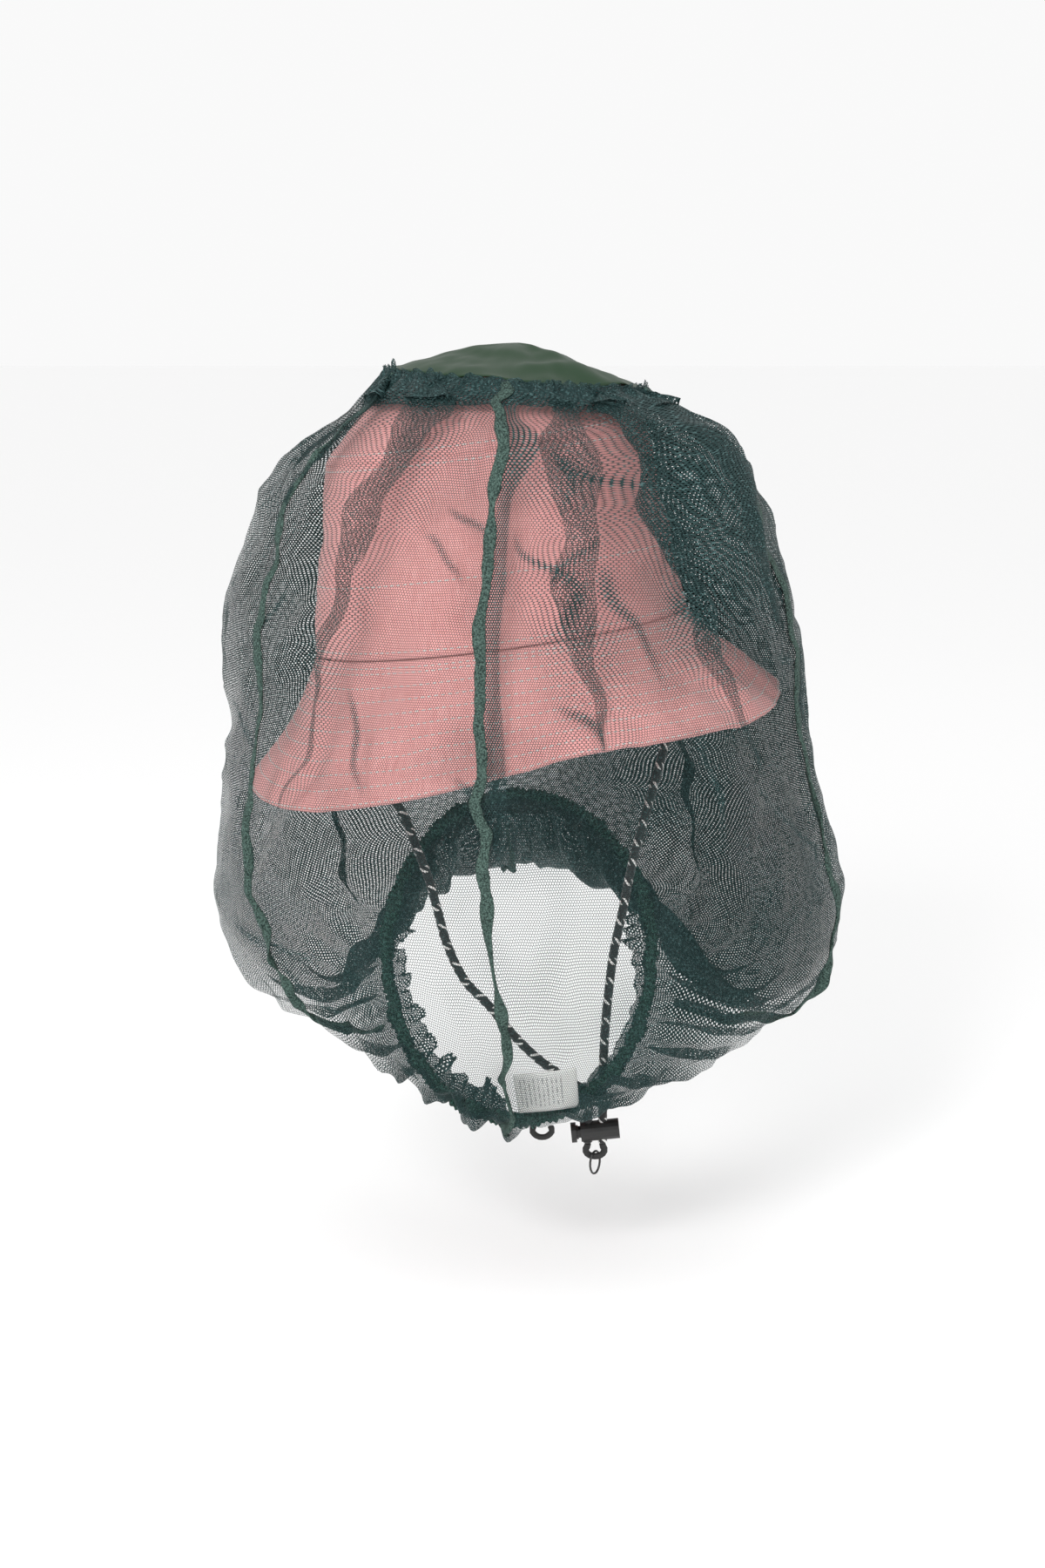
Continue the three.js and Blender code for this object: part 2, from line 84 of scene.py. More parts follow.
def paint(name, color, roughness):
    material = bpy.data.materials.new(name)
    material.use_nodes = True
    shader = material.node_tree.nodes["Principled BSDF"]
    shader.inputs["Base Color"].default_value = (*color, 1)
    shader.inputs["Roughness"].default_value = roughness
    return material


floor_height = -0.34
floor = bmesh.new()
bmesh.ops.create_grid(floor, x_segments=1, y_segments=1, size=30,
                      matrix=Matrix.Translation((0, 0, floor_height)))
floor_mesh = bpy.data.meshes.new("paper_floor")
floor.to_mesh(floor_mesh)
floor.free()
floor_mesh.materials.append(paint("white_paper", (0.98, 0.98, 0.98), 0.95))
paper_floor = bpy.data.objects.new("paper_floor", floor_mesh)
scene.collection.objects.link(paper_floor)

# ---- Chin cord ----
# A round braided cord, black with pairs of white flecks, sewn to a tab at each side of the hat.
# Its two strands hang down in front of the neck and run side by side through the cord lock.

cord_diameter = 0.0048
fleck_spacing = 0.0105
fleck_slant = 0.0042
plait_length = 0.0052
left_route = [
    (-0.091, 0, -0.0192), (-0.0886, -0.001, -0.030), (-0.0795, -0.005, -0.052), (-0.064, -0.012, -0.077),
    (-0.051, -0.018, -0.097), (-0.044, -0.022, -0.114), (-0.038, -0.025, -0.129), (-0.033, -0.029, -0.146),
    (-0.028, -0.033, -0.163), (-0.019, -0.037, -0.181), (-0.006, -0.041, -0.194), (0.007, -0.045, -0.209),
    (0.020, -0.048, -0.221), (0.033, -0.0496, -0.230), (0.0426, -0.050, -0.2365), (0.0456, -0.050, -0.243),
    (0.0456, -0.050, -0.250), (0.0456, -0.050, -0.258), (0.0456, -0.050, -0.2658),
]
right_route = [
    (0.0924, 0, 0.005), (0.0924, -0.001, -0.006), (0.0914, -0.004, -0.026), (0.0884, -0.009, -0.050),
    (0.082, -0.016, -0.075), (0.0764, -0.021, -0.094), (0.0693, -0.027, -0.119), (0.0637, -0.033, -0.145),
    (0.0591, -0.0375, -0.166), (0.0563, -0.0415, -0.187), (0.0544, -0.045, -0.208), (0.0535, -0.048, -0.228),
    (0.0533, -0.0497, -0.242), (0.0533, -0.050, -0.250), (0.0533, -0.050, -0.258), (0.0533, -0.050, -0.2658),
]


def smooth_route(route, steps):
    """Points along a smooth curve through the route, evenly spaced."""
    knots = np.array(route, dtype=float)
    ends = np.vstack([2 * knots[0] - knots[1], knots, 2 * knots[-1] - knots[-2]])
    fine = []
    for a, b, c, d in zip(ends, ends[1:], ends[2:], ends[3:]):
        for t in np.linspace(0, 1, 24, endpoint=False):
            fine.append(0.5 * (2 * b + (c - a) * t + (2 * a - 5 * b + 4 * c - d) * t ** 2
                               + (3 * b - a - 3 * c + d) * t ** 3))
    fine.append(knots[-1])
    fine = np.array(fine)
    walked = np.concatenate([[0], np.cumsum(np.linalg.norm(np.diff(fine, axis=0), axis=1))])
    marks = np.linspace(0, walked[-1], steps + 1)
    return np.stack([np.interp(marks, walked, fine[:, k]) for k in range(3)], axis=1), walked[-1]


def cloth_grid(name, columns, rows, place, material, weld=False):
    """A grid placed by a formula of its shares across and down, which also gives its UV map in metres."""
    grid = bmesh.new()
    bmesh.ops.create_grid(grid, x_segments=columns, y_segments=rows, size=0.5)
    mesh = bpy.data.meshes.new(name)
    grid.to_mesh(mesh)
    grid.free()
    flat = np.empty(3 * len(mesh.vertices))
    mesh.vertices.foreach_get("co", flat)
    across = flat[0::3] + 0.5
    down = 0.5 - flat[1::3]
    points, unrolled = place(across, down)
    mesh.vertices.foreach_set("co", np.asarray(points, dtype=float).ravel())
    corner_of = np.empty(len(mesh.loops), dtype=int)
    mesh.loops.foreach_get("vertex_index", corner_of)
    layer = mesh.uv_layers.new(name="UVMap")
    layer.data.foreach_set("uv", np.asarray(unrolled, dtype=float)[corner_of].ravel())
    if weld:
        welded = bmesh.new()
        welded.from_mesh(mesh)
        bmesh.ops.remove_doubles(welded, verts=welded.verts, dist=1e-6)
        bmesh.ops.recalc_face_normals(welded, faces=welded.faces)
        welded.to_mesh(mesh)
        welded.free()
    mesh.polygons.foreach_set("use_smooth", [True] * len(mesh.polygons))
    mesh.materials.append(material)
    piece = bpy.data.objects.new(name, mesh)
    scene.collection.objects.link(piece)
    return piece


def tube(name, points, radius, around, material, relief=None):
    """A closed tube along a path. The relief, a formula of turn and length walked, adds to its radius."""
    path = np.asarray(points, dtype=float)
    steps = len(path) - 1
    tangents = np.gradient(path, axis=0)
    tangents /= np.linalg.norm(tangents, axis=1)[:, None]
    side = np.cross(tangents[0], (0.31, 0.2, 0.93))
    sides = []
    for tangent in tangents:
        side = side - tangent * side.dot(tangent)
        side = side / np.linalg.norm(side)
        sides.append(side)
    sides = np.array(sides)
    lifts = np.cross(tangents, sides)
    walked = np.concatenate([[0], np.cumsum(np.linalg.norm(np.diff(path, axis=0), axis=1))])

    def place(across, down):
        index = np.rint(down * steps).astype(int)
        turn = 2 * np.pi * (np.rint(across * around).astype(int) % around) / around
        reach = radius if relief is None else radius + relief(turn, walked[index])
        reach = np.where((index == 0) | (index == steps), reach * 0.35, reach)
        offset = np.cos(turn)[:, None] * sides[index] + np.sin(turn)[:, None] * lifts[index]
        return path[index] + offset * np.reshape(reach, (-1, 1)), np.stack(
            [across * 2 * np.pi * radius, walked[index]], axis=1)

    piece = cloth_grid(name, around, steps, place, material, weld=True)
    capped = bmesh.new()
    capped.from_mesh(piece.data)
    bmesh.ops.holes_fill(capped, edges=capped.edges, sides=0)
    bmesh.ops.recalc_face_normals(capped, faces=capped.faces)
    capped.to_mesh(piece.data)
    capped.free()
    return piece


def nodes_of(material):
    tree = material.node_tree
    return tree.nodes, tree.links, tree.nodes["Principled BSDF"]


def math_node(nodes, links, operation, first, second=None, third=None, clamp=False):
    node = nodes.new("ShaderNodeMath")
    node.operation = operation
    node.use_clamp = clamp
    for socket, value in zip(node.inputs, (first, second, third)):
        if value is None:
            continue
        if isinstance(value, (int, float)):
            socket.default_value = value
        else:
            links.new(value, socket)
    return node.outputs[0]


def two_colors(material, factor, first, second):
    """Mixes the base colour from two, by the factor."""
    nodes, links, shader = nodes_of(material)
    mix = nodes.new("ShaderNodeMix")
    mix.data_type = "RGBA"
    mix.inputs["A"].default_value = (*first, 1)
    mix.inputs["B"].default_value = (*second, 1)
    links.new(factor, mix.inputs["Factor"])
    links.new(mix.outputs["Result"], shader.inputs["Base Color"])


def braid_material():
    """Black round braid. Slanted plaits from its UV map, and a pair of white flecks every centimetre."""
    material = paint("flecked_braid", (0.012, 0.012, 0.013), 0.8)
    nodes, links, shader = nodes_of(material)
    uv = nodes.new("ShaderNodeSeparateXYZ")
    links.new(nodes.new("ShaderNodeTexCoord").outputs["UV"], uv.inputs[0])
    across, along = uv.outputs[0], uv.outputs[1]
    turns = math_node(nodes, links, "MULTIPLY", across, 1 / (math.pi * cord_diameter))
    spaced = math_node(nodes, links, "MULTIPLY", along, 1 / fleck_spacing)
    pairs = math_node(nodes, links, "PINGPONG", spaced, 0.5)
    fleck_along = math_node(nodes, links, "GREATER_THAN", pairs, 0.33)
    slant = math_node(nodes, links, "ADD", math_node(nodes, links, "MULTIPLY", turns, 3),
                      math_node(nodes, links, "MULTIPLY", along, 1 / fleck_slant))
    spot = math_node(nodes, links, "FRACT", slant)
    fleck = math_node(nodes, links, "MULTIPLY", fleck_along, math_node(nodes, links, "LESS_THAN", spot, 0.36))
    two_colors(material, fleck, (0.012, 0.012, 0.013), (0.72, 0.72, 0.70))
    shader.inputs["Sheen Weight"].default_value = 0.3
    return material


def plait_relief(turn, walked):
    """The plaits of the braid stand out by a fifth of a millimetre."""
    slant = 4 * turn + walked / plait_length * 2 * np.pi
    other = 4 * turn - walked / plait_length * 2 * np.pi
    return 0.00011 * (np.cos(slant) + np.cos(other)) - 0.0001


cord_braid = braid_material()
for side, route in (("left", left_route), ("right", right_route)):
    route_points, route_length = smooth_route(route, 460)
    strand = tube(f"braided_cord_{side}", route_points, cord_diameter / 2, 24, cord_braid, plait_relief)
    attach(strand, "hat")
    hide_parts(f"chin_cord_{side}")

# ---- Cord end ----
# Under the lock a short loop of the same cord joins the strands, and a thin oval ring of coated wire
# hangs on the loop.


def cad_material(node, material):
    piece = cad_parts[node]
    piece.data.materials.clear()
    piece.data.materials.append(material)
    piece.data.polygons.foreach_set("use_smooth", [True] * len(piece.data.polygons))
    piece.data.set_sharp_from_angle(angle=math.radians(40))


def noise_of(material, coordinates, scale, detail=2.0):
    """Noise on the given coordinates of a material."""
    nodes, links, _ = nodes_of(material)
    noise = nodes.new("ShaderNodeTexNoise")
    noise.inputs["Scale"].default_value = scale
    noise.inputs["Detail"].default_value = detail
    links.new(coordinates, noise.inputs["Vector"])
    return noise


def raised(material, height, strength, distance):
    """Bumps the surface by the height."""
    nodes, links, shader = nodes_of(material)
    bump = nodes.new("ShaderNodeBump")
    bump.inputs["Strength"].default_value = strength
    bump.inputs["Distance"].default_value = distance
    links.new(height, bump.inputs["Height"])
    links.new(bump.outputs["Normal"], shader.inputs["Normal"])


def grained_material(name, color, roughness, grain, relief):
    """One colour with a fine grain in its tone, its gloss and its surface. Grain and relief are in metres."""
    material = paint(name, color, roughness)
    nodes, links, shader = nodes_of(material)
    noise = noise_of(material, nodes.new("ShaderNodeTexCoord").outputs["Object"], 1 / grain, 4)
    two_colors(material, noise.outputs["Fac"], [0.7 * part for part in color], [1.3 * part for part in color])
    gloss = math_node(nodes, links, "MULTIPLY_ADD", noise.outputs["Fac"], 0.24, roughness - 0.12)
    links.new(gloss, shader.inputs["Roughness"])
    raised(material, noise.outputs["Fac"], 0.5, relief)
    return material


black_plastic = grained_material("black_plastic", (0.014, 0.014, 0.014), 0.42, 0.0009, 0.00006)
black_wire = grained_material("black_coated_wire", (0.012, 0.012, 0.012), 0.3, 0.0006, 0.00003)
loop_cord = grained_material("loop_cord", (0.014, 0.014, 0.014), 0.7, 0.0005, 0.0002)
cad_material("cord_end_loop", loop_cord)
cad_material("end_ring", black_wire)
for moulded in ("cord_tab_left", "cord_tab_right", "lock_barrel", "lock_plunger"):
    cad_material(moulded, black_plastic)
cad_material("lock_spring", grained_material("spring_steel", (0.6, 0.6, 0.6), 0.3, 0.0004, 0.00001))

# ---- Bucket hat ----
# Dusty pink slub cotton: a domed tip, an upright side and a sloping brim of two cloths.

hat_tilt = math.radians(7.5)
opening_half = (0.098, 0.093)
tip_half = (0.084, 0.079)
tip_shift = 0.005
crown_height = 0.095
dome_rise = 0.047
hat_cloth = 0.0011
slub_length = 0.012
hat_turn = Matrix.Rotation(-hat_tilt, 3, "Y")
hat_turn_rows = np.array(hat_turn)


def tilted(points):
    return points @ hat_turn_rows.T


def smooth_noise(seed, columns, rows, cells_across, cells_down):
    """A seamless soft random field, of about unit size, with so many swells across and down."""
    field = np.random.default_rng(seed).standard_normal((rows, columns))
    across = np.fft.fftfreq(columns) * columns
    down = np.fft.fftfreq(rows) * rows
    keep = np.exp(-(across[None, :] / cells_across) ** 2 - (down[:, None] / cells_down) ** 2)
    soft = np.fft.ifft2(np.fft.fft2(field) * keep).real
    return soft / soft.std()


def sampled(field, across, down):
    """Reads a field at shares across and down, wrapping across."""
    rows, columns = field.shape
    x = (across % 1) * columns
    y = np.clip(down, 0, 1) * (rows - 1)
    x0 = np.floor(x).astype(int)
    y0 = np.minimum(np.floor(y).astype(int), rows - 2)
    fx, fy = x - x0, y - y0
    x0, x1 = x0 % columns, (x0 + 1) % columns
    return ((field[y0, x0] * (1 - fx) + field[y0, x1] * fx) * (1 - fy)
            + (field[y0 + 1, x0] * (1 - fx) + field[y0 + 1, x1] * fx) * fy)


def ramped_color(material, factor, dark_at, light_at, dark, light):
    """Runs the base colour from dark to light between two places on the factor."""
    nodes, links, shader = nodes_of(material)
    ramp = nodes.new("ShaderNodeValToRGB")
    for stop, at, color in zip(ramp.color_ramp.elements, (dark_at, light_at), (dark, light)):
        stop.position = at
        stop.color = (*color, 1)
    links.new(factor, ramp.inputs["Fac"])
    links.new(ramp.outputs["Color"], shader.inputs["Base Color"])


def cotton_material(name, color, weave, place="UV"):
    """Slub cotton: fine weave in metres on the UV map or upright on Object coordinates, with a soft sheen."""
    material = paint(name, color, 0.85)
    nodes, links, shader = nodes_of(material)
    coordinates = nodes.new("ShaderNodeTexCoord").outputs[place]

    def stretched_noise(scale_x, scale_y, detail):
        mapping = nodes.new("ShaderNodeMapping")
        scales = (scale_x, scale_y, 1) if place == "UV" else (scale_x, scale_x, scale_y)
        mapping.inputs["Scale"].default_value = scales
        links.new(coordinates, mapping.inputs["Vector"])
        return noise_of(material, mapping.outputs["Vector"], 1, detail).outputs["Fac"]

    warp = stretched_noise(1 / weave, 1 / slub_length, 2)
    weft = stretched_noise(1 / slub_length, 1 / weave, 2)
    broad = stretched_noise(25, 25, 3)
    yarns = math_node(nodes, links, "ADD", math_node(nodes, links, "MULTIPLY", warp, 0.65),
                      math_node(nodes, links, "MULTIPLY", weft, 0.35))
    tone = math_node(nodes, links, "ADD", math_node(nodes, links, "MULTIPLY", yarns, 0.85),
                     math_node(nodes, links, "MULTIPLY", broad, 0.15))
    ramped_color(material, tone, 0.34, 0.66, (color[0] * 0.84, color[1] * 0.76, color[2] * 0.76),
                 (min(1, color[0] * 1.12), color[1] * 1.22, color[2] * 1.22))
    raised(material, yarns, 0.35, 0.0004)
    shader.inputs["Sheen Weight"].default_value = 0.25
    shader.inputs["Sheen Roughness"].default_value = 0.5
    return material


pink = (0.80, 0.365, 0.35)
pink_cotton = cotton_material("pink_cotton", pink, 0.0006)
crown_swells = smooth_noise(3, 256, 64, 7, 3)
crown_creases = smooth_noise(4, 256, 64, 26, 6)


def crown_points(turn, drop, lift=0.0):
    """The crown's side: an oval that leans in towards the tip, with soft dents."""
    half_x = tip_half[0] + (opening_half[0] - tip_half[0]) * drop
    half_y = tip_half[1] + (opening_half[1] - tip_half[1]) * drop
    middle = np.sin(np.pi * np.clip(drop, 0, 1))
    dents = 0.0016 * middle * sampled(crown_swells, turn / (2 * np.pi), drop)
    dents = dents + 0.0004 * middle * sampled(crown_creases, turn / (2 * np.pi), drop)
    out = lift + dents
    return np.stack([tip_shift * (1 - drop) + (half_x + out) * np.sin(turn),
                     -(half_y + out) * np.cos(turn), crown_height * (1 - drop)], axis=1)


def crown_side_place(from_turn, to_turn):
    def place(across, down):
        down = down * 1.012 - 0.012
        turn = from_turn + (to_turn - from_turn) * across
        unrolled = np.stack([turn * opening_half[0], -down * crown_height], axis=1)
        return tilted(crown_points(turn, down)), unrolled
    return place


def thick_cloth(piece, thickness):
    solid = piece.modifiers.new("cloth_thickness", "SOLIDIFY")
    solid.thickness = thickness
    solid.offset = -1


for half, start in (("front", -math.pi / 2), ("back", math.pi / 2)):
    side_cloth = cloth_grid(f"crown_side_cloth_{half}", 110, 40, crown_side_place(start, start + math.pi),
                            pink_cotton)
    thick_cloth(side_cloth, hat_cloth)
    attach(side_cloth, "hat")
    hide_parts(f"crown_side_{half}")

tip_dents = smooth_noise(5, 256, 64, 4, 3)


def tip_points(turn, along):
    height = crown_height + dome_rise * (1 - along ** 2.2)
    sag = 0.0022 * np.sin(np.pi * along) * along * sampled(tip_dents, turn / (2 * np.pi), along)
    puff = 0.0008 * np.sin(np.pi * np.clip((along - 0.9) / 0.1, 0, 1))
    return np.stack([tip_shift + tip_half[0] * along * np.sin(turn), -tip_half[1] * along * np.cos(turn),
                     height + sag + puff + 0.0012], axis=1)


def tip_place(across, down):
    turn = 2 * np.pi * (across % 1)
    points = tip_points(turn, down)
    return tilted(points), points[:, :2]


tip_cloth = cloth_grid("crown_tip_cloth", 128, 40, tip_place, pink_cotton, weld=True)
thick_cloth(tip_cloth, hat_cloth)
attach(tip_cloth, "hat")
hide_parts("crown_tip")

brim_reach = 0.040
brim_drop = 0.057
brim_ripples = smooth_noise(8, 512, 32, 34, 2)
brim_swells = smooth_noise(9, 512, 32, 6, 1)


def brim_points(turn, drop, lift=0.0):
    """The brim, which hangs lower at the -X side and ripples most at the +X side."""
    reach = brim_reach - 0.003 * np.cos(2 * turn)
    fall = brim_drop - 0.008 * np.sin(turn) - 0.004 * np.cos(3 * turn - 0.6)
    curl = np.maximum(drop, 0) ** 1.25
    slope = np.hypot(reach, fall)
    share = turn / (2 * np.pi)
    rippled = 0.35 + 0.65 * np.clip(np.sin(turn + 0.1), 0, 1)
    wave = 0.0016 * rippled * sampled(brim_ripples, share, drop) * np.clip(drop * 1.5, 0, 1)
    wave = wave + 0.0012 * sampled(brim_swells, share, drop) * drop
    out = lift + wave
    return np.stack([(opening_half[0] + reach * curl + out * fall / slope) * np.sin(turn),
                     -(opening_half[1] + reach * curl + out * fall / slope) * np.cos(turn),
                     -0.0009 - fall * drop + out * reach / slope], axis=1)


def brim_place(lift):
    def place(across, down):
        turn = 2 * np.pi * (across % 1)
        unrolled = np.stack([2 * np.pi * across * 0.118, -down * 0.072], axis=1)
        return tilted(brim_points(turn, down, lift)), unrolled
    return place


for layer, lift in (("upper", 0.0), ("under", -0.0015)):
    brim_cloth = cloth_grid(f"brim_cloth_{layer}", 320, 36, brim_place(lift), pink_cotton, weld=True)
    thick_cloth(brim_cloth, 0.001)
    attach(brim_cloth, "hat")
    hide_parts(f"brim_{layer}")

cad_material("sweatband", cotton_material("sweatband_twill", (0.6, 0.27, 0.25), 0.0008, "Object"))

# Topstitching: rows of white thread round the brim, round its seam and round the tip.
stitch_length = 0.0024
stitch_pitch = 0.0036
stitch_radius = 0.00045
stitch_thread = grained_material("white_thread", (0.66, 0.63, 0.61), 0.6, 0.0003, 0.00005)


def stitch_row(line):
    """Sets stitches along a closed line, each an ellipsoid half sunk in the cloth."""
    loop = np.vstack([line, line[:1]])
    walked = np.concatenate([[0], np.cumsum(np.linalg.norm(np.diff(loop, axis=0), axis=1))])
    count = int(walked[-1] / stitch_pitch)
    marks = (np.arange(count) + 0.5) * walked[-1] / count
    ends = [np.stack([np.interp(marks + move, walked, loop[:, k]) for k in range(3)], axis=1)
            for move in (-0.0005, 0.0005)]
    along = ends[1] - ends[0]
    along /= np.linalg.norm(along, axis=1)[:, None]
    across = np.cross(along, (0, 0, 1))
    across /= np.linalg.norm(across, axis=1)[:, None]
    up = np.cross(across, along)
    middle = (ends[0] + ends[1]) / 2
    return (middle[:, None] + stitch_shape[None, :, :1] * along[:, None] * stitch_length / 2
            + stitch_shape[None, :, 1:2] * across[:, None] * stitch_radius
            + stitch_shape[None, :, 2:] * up[:, None] * stitch_radius)


one_stitch = bmesh.new()
bmesh.ops.create_uvsphere(one_stitch, u_segments=6, v_segments=4, radius=1,
                          matrix=Matrix.Rotation(math.pi / 2, 4, "Y"))
stitch_shape = np.array([vert.co for vert in one_stitch.verts])
stitch_faces = [[vert.index for vert in face.verts] for face in one_stitch.faces]
one_stitch.free()
around = np.linspace(0, 2 * np.pi, 720, endpoint=False)
brim_rows = [0.05, 0.09] + [0.19 + 0.098 * k for k in range(8)] + [0.985]
stitches = [stitch_row(tilted(brim_points(around, np.full_like(around, row), 0.0001))) for row in brim_rows]
for row in (0.02, 0.62, 0.965):
    stitches.append(stitch_row(tilted(crown_points(around, np.full_like(around, row), 0.0001))))
stitches.append(stitch_row(tilted(tip_points(around, np.full_like(around, 0.965)))))
stitches = np.concatenate(stitches)
stitch_mesh = bpy.data.meshes.new("topstitching")
stitch_corners = [[corner + k * len(stitch_shape) for corner in face]
                  for k in range(len(stitches)) for face in stitch_faces]
stitch_mesh.from_pydata(stitches.reshape(-1, 3), [], stitch_corners)
stitch_mesh.polygons.foreach_set("use_smooth", [True] * len(stitch_mesh.polygons))
stitch_mesh.materials.append(stitch_thread)
topstitching = bpy.data.objects.new("topstitching", stitch_mesh)
scene.collection.objects.link(topstitching)
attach(topstitching, "hat")

# ---- Head net ----
# Fine dark green knitted mesh in panels between a cloth top and an elastic hem at the neck.

front_shape = [(84, 106), (98, 74), (108, 38), (119, -2), (131, -44), (140, -78), (135, -124),
               (125, -168), (110, -210), (94, -234)]
side_shape = [(106, 102), (126, 77), (140, 39), (148, 4), (150, -41), (155, -86), (162, -130),
              (160, -160), (146, -188), (112, -202)]
back_shape = [(92, 104), (108, 74), (122, 38), (132, -2), (140, -44), (148, -82), (152, -116),
              (145, -143), (122, -153), (88, -138)]
cap_centre = 0.008
cap_radius = 0.066
neck_centre = np.array([0.0096, -0.007, -0.173])
neck_half = np.array([0.0705, 0.066, 0.073])
net_columns = 640
net_rows = 200


def cap_edge(turn):
    return np.stack([cap_centre + cap_radius * np.sin(turn), -cap_radius * np.cos(turn),
                     0.129 - 0.005 * np.sin(turn)], axis=-1)


def neck_line(turn):
    return np.stack([neck_centre[0] + neck_half[0] * np.sin(turn),
                     neck_centre[1] - neck_half[1] * np.cos(turn),
                     neck_centre[2] - neck_half[2] * np.cos(turn)], axis=-1)


def net_base(turn, drop):
    """The smooth shape of the net: knots down each line of it, joined by a curve through them."""
    front = np.clip(np.cos(turn), 0, None) ** 2
    back = np.clip(-np.cos(turn), 0, None) ** 2
    side = np.sin(turn) ** 2
    knots = [cap_edge(turn)]
    for (fr, fh), (sr, sh), (br, bh) in zip(front_shape, side_shape, back_shape):
        radius = (fr * front + sr * side + br * back) / 1000
        height = (fh * front + sh * side + bh * back) / 1000
        centre = 0.004 + 0.07 * np.abs(height)
        knots.append(np.stack([centre + radius * np.sin(turn), -radius * np.cos(turn), height], axis=-1))
    hem = neck_line(turn)
    last = knots[-1] - hem
    knots.append(hem + last / np.linalg.norm(last, axis=-1, keepdims=True) * 0.0024)
    knots = np.stack(knots)
    outline = np.array([(66, 128)] + side_shape + [(75, -186)], dtype=float)
    lengths = np.linalg.norm(np.diff(outline, axis=0), axis=1)
    marks = np.concatenate([[0], np.cumsum(lengths)]) / lengths.sum()
    place = np.interp(drop, marks, np.arange(len(marks)))
    first = np.minimum(np.floor(place).astype(int), len(marks) - 2)
    t = (place - first)[..., None]
    padded = np.concatenate([2 * knots[:1] - knots[1:2], knots, 2 * knots[-1:] - knots[-2:-1]])
    grid = np.indices(turn.shape)
    a, b, c, d = (padded[(first + k, *grid)] for k in range(4))
    return 0.5 * (2 * b + (c - a) * t + (2 * a - 5 * b + 4 * c - d) * t ** 2
                  + (3 * b - a - 3 * c + d) * t ** 3)


def outward_of(points):
    along = np.roll(points, -1, axis=1) - np.roll(points, 1, axis=1)
    down = np.gradient(points, axis=0)
    out = np.cross(down, along)
    return out / np.maximum(np.linalg.norm(out, axis=-1, keepdims=True), 1e-12)


def smooth_step(x):
    x = np.clip(x, 0, 1)
    return x * x * (3 - 2 * x)


# Folds that double the cloth: drop and turn (degrees) of the line, its half width, its strength by drop.
folds = [
    {"line": [(0.0, -33), (0.25, -42), (0.45, -45), (0.62, -58)], "width": [(0.0, 17), (0.2, 9), (0.4, 3)],
     "strength": [(0, 0.2), (0.05, 1), (0.3, 0.9), (0.55, 0.7), (0.66, 0)]},
    {"line": [(0.0, 14), (0.3, 17), (0.5, 20)], "width": [(0.0, 14), (0.25, 9), (0.5, 4)],
     "strength": [(0, 0.2), (0.05, 1), (0.35, 0.9), (0.55, 0)]},
    {"line": [(0.0, 36), (0.2, 40), (0.35, 46), (0.55, 62)], "width": [(0.0, 13), (0.3, 6), (0.55, 3)],
     "strength": [(0, 0.2), (0.05, 1), (0.4, 0.8), (0.58, 0)]},
    {"line": [(0.0, 66), (0.5, 70)], "width": [(0.0, 14), (0.5, 6)],
     "strength": [(0, 0.2), (0.05, 1), (0.25, 0.6), (0.45, 0)]},
    {"line": [(0.0, -64), (0.4, -70)], "width": [(0.0, 8), (0.4, 4)],
     "strength": [(0, 0.2), (0.05, 0.9), (0.2, 0.6), (0.4, 0)]},
    {"line": [(0.0, 150), (0.8, 140)], "width": [(0.0, 16), (0.8, 7)],
     "strength": [(0, 0.2), (0.05, 1), (0.8, 0.4), (0.9, 0)]},
    {"line": [(0.0, 215), (0.8, 225)], "width": [(0.0, 16), (0.8, 8)],
     "strength": [(0, 0.2), (0.05, 1), (0.8, 0.4), (0.9, 0)]},
]


def folded(turn, drop):
    """Turns moved by the folds, and how far each point stands off for lying above or below its fold."""
    moved = turn.copy()
    lift = np.zeros_like(turn)
    for fold in folds:
        first_turn = fold["line"][0][1]
        at = np.radians(np.interp(drop, *zip(*fold["line"])) + 1.3 * np.sin(31 * drop + first_turn)
                        + 0.7 * np.sin(73 * drop + 2 * first_turn))
        uneven = 1 + 0.22 * np.sin(43 * drop + first_turn)
        width = np.radians(np.interp(drop, *zip(*fold["width"])) * uneven)
        strength = np.interp(drop, *zip(*fold["strength"]))
        x = ((turn - at + np.pi) % (2 * np.pi) - np.pi) / width / 2
        window = np.where(np.abs(x) < 1, (1 + np.cos(np.pi * x)) / 2, 0)
        moved -= strength * 1.9 * width * np.sin(np.pi * x) * window
        lift += -0.0028 * strength * np.sin(np.pi * x) * window
    return moved, lift


turn_grid, drop_grid = np.meshgrid(np.linspace(0, 2 * np.pi, net_columns, endpoint=False),
                                   np.linspace(0, 1, net_rows + 1))
moved_turn, fold_lift = folded(turn_grid, drop_grid)
plain_net = net_base(turn_grid, drop_grid)
drape = net_base(moved_turn, drop_grid)
outward = outward_of(plain_net)
net_swells = smooth_noise(21, net_columns, net_rows + 1, 9, 4)
net_creases = smooth_noise(22, net_columns, net_rows + 1, 24, 10)
net_crumples = smooth_noise(24, net_columns, net_rows + 1, 60, 22)
hem_phase = smooth_noise(23, net_columns, net_rows + 1, 5, 2)
free = smooth_step(drop_grid / 0.12) * smooth_step((1 - drop_grid) / 0.04)
lift = fold_lift + free * (0.0026 * net_swells + 0.0018 * (1 - np.abs(net_creases)) + 0.0005 * net_crumples)

